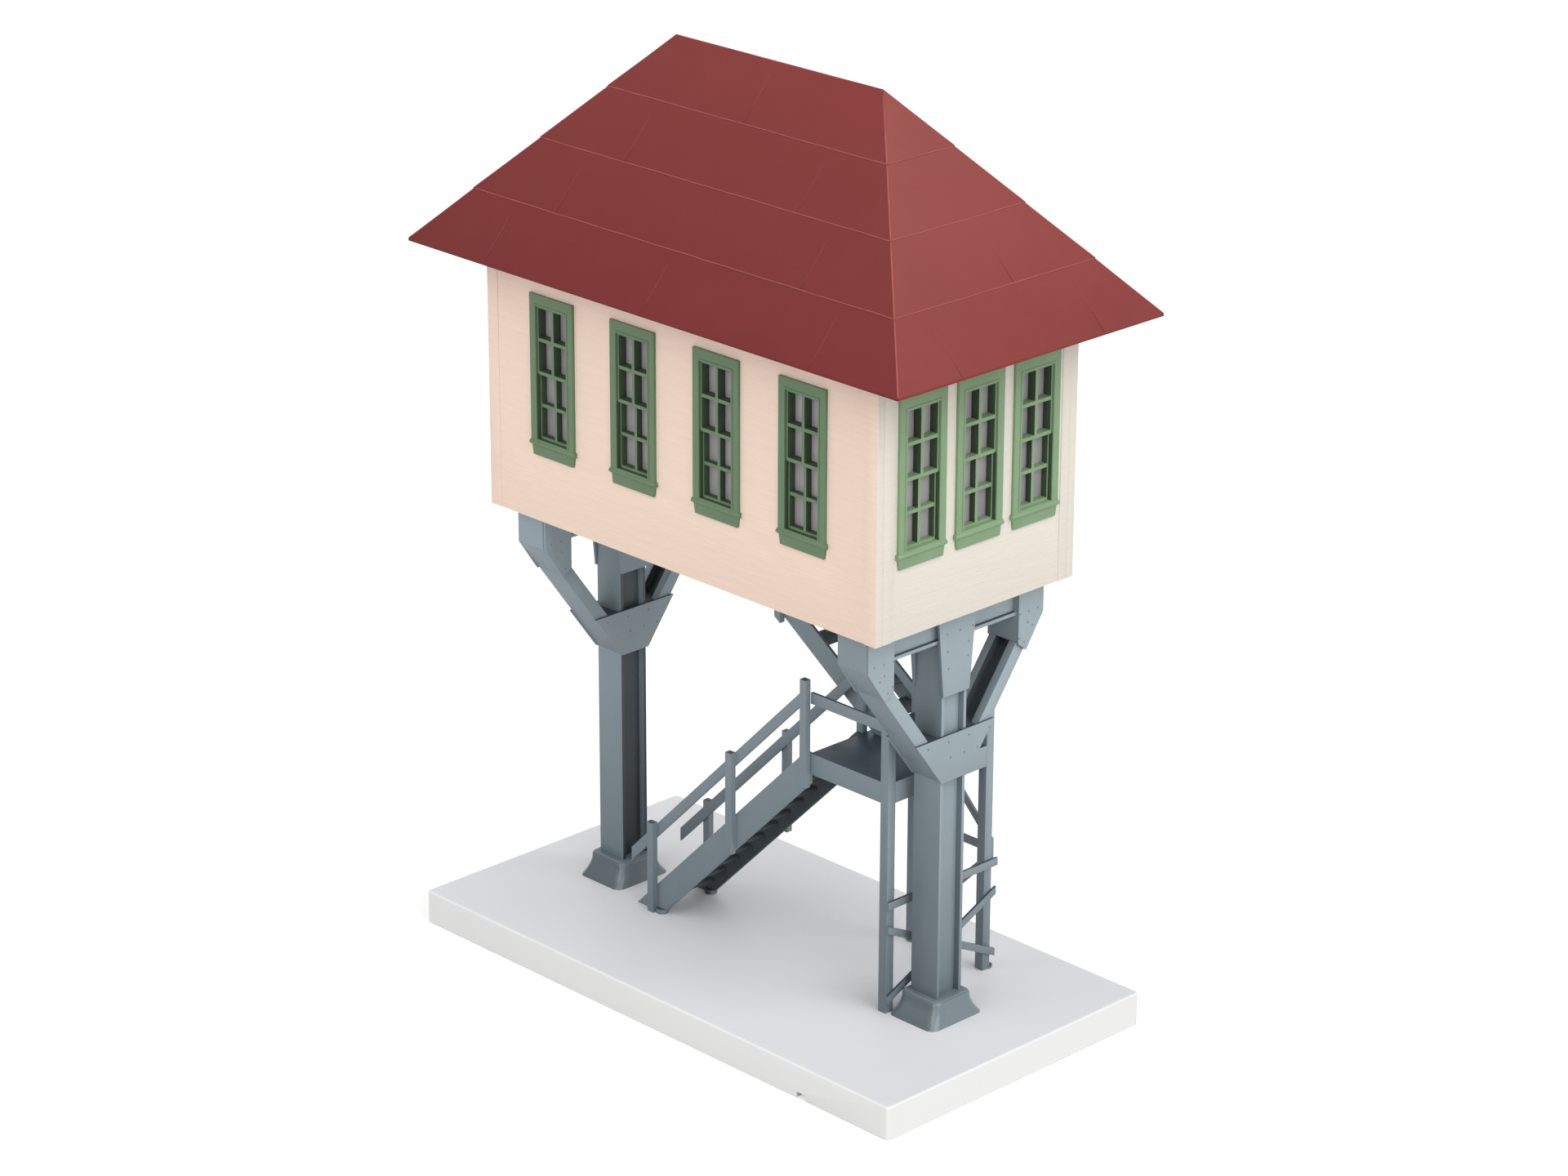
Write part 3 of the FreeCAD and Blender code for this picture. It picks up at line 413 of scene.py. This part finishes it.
def add_piece(name, bm, finishes, body, stands_for=(), round_edge=0.0, steps=2, pick=None):
    """A piece from a bmesh in row coordinates, with its sharp edges rounded by `round_edge` mm.

    `pick` gives a face's place in `finishes` from the face.
    """
    if round_edge:
        bm.verts.index_update()
        sharp, bm = bm, rounded(bm, round_edge * MM, steps)
        sharp.free()
    for edge in bm.edges:
        edge.smooth = len(edge.link_faces) == 2 and edge.calc_face_angle() < math.radians(SMOOTH_ANGLE)
    for face in bm.faces:
        face.smooth = True
        face.material_index = pick(face) if pick else 0
    mesh = bpy.data.meshes.new(name)
    bm.to_mesh(mesh)
    bm.free()
    piece = bpy.data.objects.new(name, mesh)
    scene.collection.objects.link(piece)
    for finish in finishes:
        mesh.materials.append(finish)
    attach(piece, body)
    if stands_for:
        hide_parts(*stands_for)
    return piece


def by_facing(face):
    """0 for a face along the long sides, 1 for one that faces an end, 2 for a top, 3 for an underside: the
    places of a finish's lit and shaded copies, which paint light and shade by facing.
    """
    if face.normal.z > STEEP:
        return 2
    if face.normal.z < -STEEP:
        return 3
    return 1 if abs(face.normal.x) > ENDWARD else 0


def column_faces(face):
    """As by_facing, and 4 for the faces that the two columns turn to each other, which get a painted shade.
    """
    middle = face.calc_center_median()
    return 4 if middle.x * face.normal.x < 0 and abs(face.normal.x) > ENDWARD else by_facing(face)


def foot_faces(face):
    """As by_facing, and 4 for a pedestal's rounded corners, which get a painted highlight."""
    corner_lean = 0.34
    corner = min(abs(face.normal.x), abs(face.normal.y)) > corner_lean
    return 4 if corner and abs(face.normal.z) < STEEP else by_facing(face)


def arm_faces(node):
    """As by_facing, and 3 for the groove in a bracket arm's upper side, which gets a painted shade."""
    low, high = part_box(node)
    centre = (low.x + high.x) / 2
    half_groove, underside = 3.2 * MM, -0.2

    def pick(face):
        groove = abs(face.calc_center_median().x - centre) < half_groove and face.normal.z > underside
        return 3 if groove else by_facing(face)
    return pick


def under_stair(face):
    """As by_facing, and 3 for the flank that the lower flight's treads shade."""
    rail_above = 72 * MM                 # the shaded part lies below the line z = x + this
    middle = face.calc_center_median()
    shaded = face.normal.y < -ENDWARD and middle.z < middle.x + rail_above
    return 3 if shaded else by_facing(face)


def wall_faces(face):
    """0 for the long walls' faces, 1 for their ends, which show at the corners of the end walls and take the
    end walls' copy, painted light.
    """
    corner_board = 96.2 * MM
    at_end = abs(face.calc_center_median().x) > corner_board
    return 1 if at_end and abs(face.normal.x) > ENDWARD else 0


def window_depths(node):
    """0 for a window's front, and 1 for the sides of its lights and of the casing's hole, which get a painted
    shade.
    """
    low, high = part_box(node)
    across = 1 if high.x - low.x > high.y - low.y else 0
    along = 1 - across
    centre = (low + high) / 2
    out = 1 if centre[across] > 0 else -1
    front = high[across] if out > 0 else -low[across]
    hole_half, bead_depth, outward = 8.0 * MM, 1.15 * MM, 0.6
    ledge = outward if across == 0 else 2.0      # an end wall's ledges keep the finish of the front

    def pick(face):
        middle = face.calc_center_median()
        deep = front - out * middle[across] > bead_depth
        inside = abs(middle[along] - centre[along]) < hole_half
        facing_out = out * face.normal[across] > outward
        return 1 if deep and inside and not facing_out and face.normal.z < ledge else 0
    return pick


def moulding(node, finishes, round_edge, body="tower", steps=2, pick=None):
    """The CAD node as a moulding: one surface with its flat faces whole and its edges rounded."""
    bm = bmesh.new()
    bm.from_mesh(nodes[node].data)
    bmesh.ops.remove_doubles(bm, verts=bm.verts[:], dist=WELD)
    bmesh.ops.dissolve_limit(bm, angle_limit=math.radians(FLAT_ANGLE), use_dissolve_boundaries=False,
                             verts=bm.verts[:], edges=bm.edges[:])
    return add_piece(node + "_moulding", bm, finishes, body, (node,), round_edge, steps, pick)


def make_mouldings():
    steel = (STEEL_LONG, STEEL_END, STEEL_TOP_SHADE, STEEL_SHADE, STEEL_INNER_SHADE)
    for node in nodes:
        if node == "roof_shell":
            moulding(node, (ROOF,), 0.09, "roof")
        elif node.startswith("bracket_arm"):
            moulding(node, steel, 0.08, pick=arm_faces(node))
        elif node.startswith(("gussets", "splice", "brace")):
            moulding(node, steel, 0.08, pick=by_facing)
        elif node.startswith("column"):
            moulding(node, steel, 0.12, pick=column_faces)
        elif node == "stair_lower_far_side":
            moulding(node, steel, 0.12, pick=under_stair)
        elif node.endswith("treads"):
            # The treads take the painted shade all over.
            moulding(node, (STEEL_SHADE,), 0.12)
        elif node.startswith(("crossbeam", "stair", "landing")):
            moulding(node, steel, 0.12, pick=by_facing)
        elif node.startswith("pedestal"):
            # Shaded sides, lit ends and tops, painted shade underneath and a painted highlight on the
            # corners.
            finishes = (FOOT_LONG, FOOT_END, FOOT_END, STEEL_SHADE, FOOT_CORNER_HIGHLIGHT)
            moulding(node, finishes, 0.3, steps=3, pick=foot_faces)
        elif node in ("wall_front", "wall_back"):
            moulding(node, (WALL_LONG, WALL_END), 0.12, pick=wall_faces)
        elif node in ("wall_left", "wall_right", "cabin_floor"):
            moulding(node, (WALL_END,), 0.12)
        elif node.startswith("window"):
            facing_long = node.startswith(("window_front", "window_back"))
            finishes = (WINDOW_LONG if facing_long else WINDOW_END, WINDOW_SHADE)
            moulding(node, finishes, 0.07, pick=window_depths(node))
        elif node.startswith("glazing"):
            moulding(node, (GLAZING,), 0.05)
        elif node == "cover_screws":
            moulding(node, (SCREW,), 0.08)
        elif node.startswith("base"):
            moulding(node, (BASE_LONG, BASE_END, BASE_TOP, BASE_LONG), 0.3, steps=3,
                     pick=by_facing)
        elif node == "lamp_socket":
            moulding(node, (SOCKET,), 0.2)
        elif node == "lamp_bulb":
            moulding(node, (BULB,), 0.0)


def add_rod(bm, points, radius, sides):
    """A thin round strip of `radius` along points, in metres, with closed ends."""
    rings = []
    for i, point in enumerate(points):
        ahead = points[min(i + 1, len(points) - 1)] - points[max(i - 1, 0)]
        turn = ahead.to_track_quat("Z", "Y")
        ring = [bm.verts.new(point + turn @ Vector((radius * math.cos(t), radius * math.sin(t), 0)))
                for t in (2 * math.pi * k / sides for k in range(sides))]
        rings.append(ring)
    for low, high in zip(rings, rings[1:]):
        for k in range(sides):
            bm.faces.new((low[k], low[(k + 1) % sides], high[(k + 1) % sides], high[k]))
    bm.faces.new(rings[0][::-1])
    bm.faces.new(rings[-1])


def wander(start, end, pitch, amount, axis, seed):
    """Points from start to end about every `pitch`, straying by `amount` along `axis` as a cut edge does."""
    count = max(2, int((end - start).length / pitch))
    points = []
    for i in range(count + 1):
        point = start.lerp(end, i / count)
        stray = noise.noise(Vector((i * 0.37, seed * 7.1, 0.5))) * amount
        points.append(point + axis * stray)
    return points


def make_roof_details():
    """Sheet edges of the roofing: a lip along each course, faint seams down the slopes, and hips, all lighter
    than the roof as painted highlights.
    """
    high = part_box("roof_shell")[1]
    eave, ridge, ridge_half, lap = 265.1 * MM, high.z, 50.0 * MM, 0.25 * MM
    courses = 4
    lip_radius, seam_radius, hip_radius = 0.19 * MM, 0.085 * MM, 0.24 * MM
    seam_start, seam_end, seam_inset = 0.3 * MM, 0.2 * MM, 0.1 * MM
    hip_sink = 0.32 * MM

    def half(part, out=0.0):
        """The roof's half sizes, `out` larger, and its level at a share of the way up the slopes."""
        return (Vector((high.x + (ridge_half - high.x) * part + out, high.y * (1 - part) + out)),
                eave + (ridge - eave) * part)

    def add_seam(start, end, axis, seed):
        add_rod(seams, wander(start, end, 4 * MM, 0.10 * MM, axis, seed), seam_radius, 6)

    lips, seams, hips = bmesh.new(), bmesh.new(), bmesh.new()
    for course in range(1, courses):
        reach, level = half(course / courses, lap * 0.55)
        corners = [Vector((sx * reach.x, sy * reach.y, level - 0.02 * MM))
                   for sx, sy in ((1, -1), (1, 1), (-1, 1), (-1, -1))]
        for k in range(4):
            start, end = corners[k], corners[(k + 1) % 4]
            add_rod(lips, wander(start, end, 4 * MM, 0.16 * MM, Vector((0, 0, 1)), course * 4 + k),
                    lip_radius, 6)
    places = {0: (-80, 0, 80), 1: (-60, 60), 2: (-42, 42), 3: (0,)}
    end_places = {0: (-34, 34), 1: (8,)}
    for course in range(courses):
        start_half, start_level = half(course / courses, lap if course else 0.0)
        end_half, end_level = half((course + 1) / courses)
        for side in (-1, 1):
            for k, x in enumerate(places[course]):
                start = Vector((x * MM, side * (start_half.y - seam_inset), start_level + seam_start))
                end = Vector((x * MM, side * end_half.y, end_level - seam_end))
                add_seam(start, end, Vector((1, 0, 0)), k + 9)
            for k, y in enumerate(end_places.get(course, ())):
                start = Vector((side * (start_half.x - seam_inset), y * MM, start_level + seam_start))
                end = Vector((side * end_half.x, y * MM, end_level - seam_end))
                add_seam(start, end, Vector((0, 1, 0)), k + 19)
        for sx in (-1, 1):
            for sy in (-1, 1):
                inset, lift = 0.22 * MM, 0.05 * MM
                start = Vector((sx * (start_half.x - inset), sy * (start_half.y - inset), start_level + lift))
                drop = hip_sink if course == courses - 1 else 0.0
                end = Vector((sx * (end_half.x - inset), sy * max(end_half.y - inset, 0), end_level - drop))
                add_rod(hips, wander(start, end, 5 * MM, 0.05 * MM, Vector((0, 0, 1)), course), hip_radius, 8)
    start, end = (Vector((side * ridge_half, 0, ridge - hip_sink)) for side in (-1, 1))
    add_rod(hips, wander(start, end, 5 * MM, 0.05 * MM, Vector((0, 1, 0)), 31), hip_radius, 8)
    add_piece("roof_course_lips", lips, (ROOF_HIGHLIGHT,), "roof")
    add_piece("roof_sheet_seams", seams, (ROOF_SEAM_HIGHLIGHT,), "roof")
    add_piece("roof_hip_lines", hips, (ROOF_HIGHLIGHT,), "roof")


# Rows of rivet marks on the plates: (start, end, count), each end as (across, up) in mm.
ARM_ROWS = (((-40.1, 156.5), (-31.0, 156.3), 3), ((-37.5, 150.6), (-35.2, 152.3), 2),
            ((-35.9, 143.6), (-31.1, 147.3), 3))
SPLICE_ROWS = (((-4.9, 158.9), (7.4, 158.9), 3), ((5.5, 153.6), (5.5, 148.3), 2),
               ((-4.6, 152.4), (-4.2, 146.0), 2))
MARK_RADIUS, MARK_DEPTH = 0.42 * MM, 0.30 * MM
HUB_ROWS = (((-13.5, 119.0), (16.8, 118.6), 4), ((-2.3, 112.8), (11.1, 112.8), 3))


def row_places(rows):
    """The (across, up) places of the marks in rows, in mm."""
    for start, end, count in rows:
        for k in range(count):
            part = k / (count - 1)
            yield start[0] + (end[0] - start[0]) * part, start[1] + (end[1] - start[1]) * part


def sink_marks(piece, places, radius, depth):
    """Cut small round dimples, `depth` deep, into a piece at places on its surface."""
    cutter_bm = bmesh.new()
    for place, out in places:
        ball = (radius * radius + depth * depth) / (2 * depth)      # the sphere that cuts such a dimple
        bmesh.ops.create_icosphere(cutter_bm, subdivisions=3, radius=ball,
                                   matrix=Matrix.Translation(place + out * (ball - depth)))
    cutter_mesh = bpy.data.meshes.new("cutter")
    cutter_bm.to_mesh(cutter_mesh)
    cutter_bm.free()
    cutter = bpy.data.objects.new("cutter", cutter_mesh)
    scene.collection.objects.link(cutter)
    carve = piece.modifiers.new("marks", "BOOLEAN")
    carve.operation = "DIFFERENCE"
    carve.solver = "EXACT"
    carve.object = cutter
    bpy.context.view_layer.update()
    carved = bpy.data.meshes.new_from_object(piece.evaluated_get(bpy.context.evaluated_depsgraph_get()))
    piece.modifiers.clear()
    piece.data = carved
    bpy.data.objects.remove(cutter)


def make_rivet_marks():
    """The rivets are small dimples in the plates' outer faces."""
    for side in ("left", "right"):
        for plate, rows in (("gussets_near_", ARM_ROWS), ("gussets_far_", ARM_ROWS),
                            ("splice_plates_", SPLICE_ROWS), ("gussets_hub_", HUB_ROWS)):
            low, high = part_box(plate + side)
            flip = -1 if plate == "gussets_far_" else 1
            places = [(Vector((x, flip * y * MM, z * MM)), Vector((out, 0, 0)))
                      for x, out in ((low.x, -1), (high.x, 1)) for y, z in row_places(rows)]
            sink_marks(bpy.data.objects[plate + side + "_moulding"], places, MARK_RADIUS, MARK_DEPTH)


STRIP_EDGE = 0.03        # the rounding of a strip's edges, in mm


def add_strip(bm, low, high):
    """A closed strip between two corners, its edges left for the rounding."""
    made = bmesh.ops.create_cube(bm, size=1.0)
    centre, span = (low + high) / 2, high - low
    for vert in made["verts"]:
        vert.co = Vector(centre[i] + vert.co[i] * span[i] for i in range(3))


def wall_windows(wall, along, out):
    """Each window's box in a wall, the middle of the window along the wall, and its foremost plane."""
    for node in nodes:
        if node.startswith("window_" + wall):
            low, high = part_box(node)
            yield low, high, (low[along] + high[along]) / 2, (high if out > 0 else low)[1 - along]


def between(along, span, depths, levels):
    """The low and high corners of a strip, given its extent along the wall, through it and in height."""
    corner_a, corner_b = Vector((0, 0, levels[0])), Vector((0, 0, levels[1]))
    corner_a[along], corner_b[along] = span
    corner_a[1 - along], corner_b[1 - along] = sorted(depths)
    return corner_a, corner_b


def make_casing_beads():
    """The raised bead of the wall round each window casing, paler than the wall as a painted highlight."""
    half, broad, proud, tuck, bury = 11.1 * MM, 0.24 * MM, 0.09 * MM, 0.1 * MM, 0.2 * MM
    board_proud = 0.3 * MM               # how far the corner boards stand in front of the wall
    for wall, along, out in WALLS:
        wall_low, wall_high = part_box("wall_" + wall)
        face = (wall_high if out > 0 else wall_low)[1 - along] - out * board_proud
        depths = (face - out * bury, face + out * proud)
        bm = bmesh.new()
        for low, high, centre, _front in wall_windows(wall, along, out):
            for span_low, span_high, z_low in ((-half - broad, -half + tuck, low.z),
                                               (half - tuck, half + broad, low.z),
                                               (-half, half, high.z - tuck)):
                span = (centre + span_low, centre + span_high)
                add_strip(bm, *between(along, span, depths, (z_low, high.z + broad)))
        add_piece("casing_beads_" + wall, bm, (WALL_BEAD,), "tower", round_edge=STRIP_EDGE)


def make_sash_gap_shade():
    """Painted shade: dark strips over the sides of the casing's hole beside each lower sash, which stands
    back from the upper one.
    """
    levels = (199.0 * MM, 223.7 * MM)
    gap_inner, gap_outer = 7.70, 7.85    # half widths, either side of the hole's edge, in mm
    gap_front, gap_back = 0.75, 2.2      # depths behind the sill's nose, in mm
    for wall, along, out in WALLS:
        bm = bmesh.new()
        for _low, _high, centre, front in wall_windows(wall, along, out):
            for side in (-1, 1):
                span = sorted(centre + side * half * MM for half in (gap_inner, gap_outer))
                depths = [front - out * depth * MM for depth in (gap_front, gap_back)]
                add_strip(bm, *between(along, span, depths, levels))
        add_piece("sash_gap_shade_" + wall, bm, (WINDOW_SHADE,), "tower", round_edge=STRIP_EDGE)


make_camera()
make_studio()
make_mouldings()
make_roof_details()
make_rivet_marks()
make_casing_beads()
make_sash_gap_shade()

bpy.context.view_layer.update()
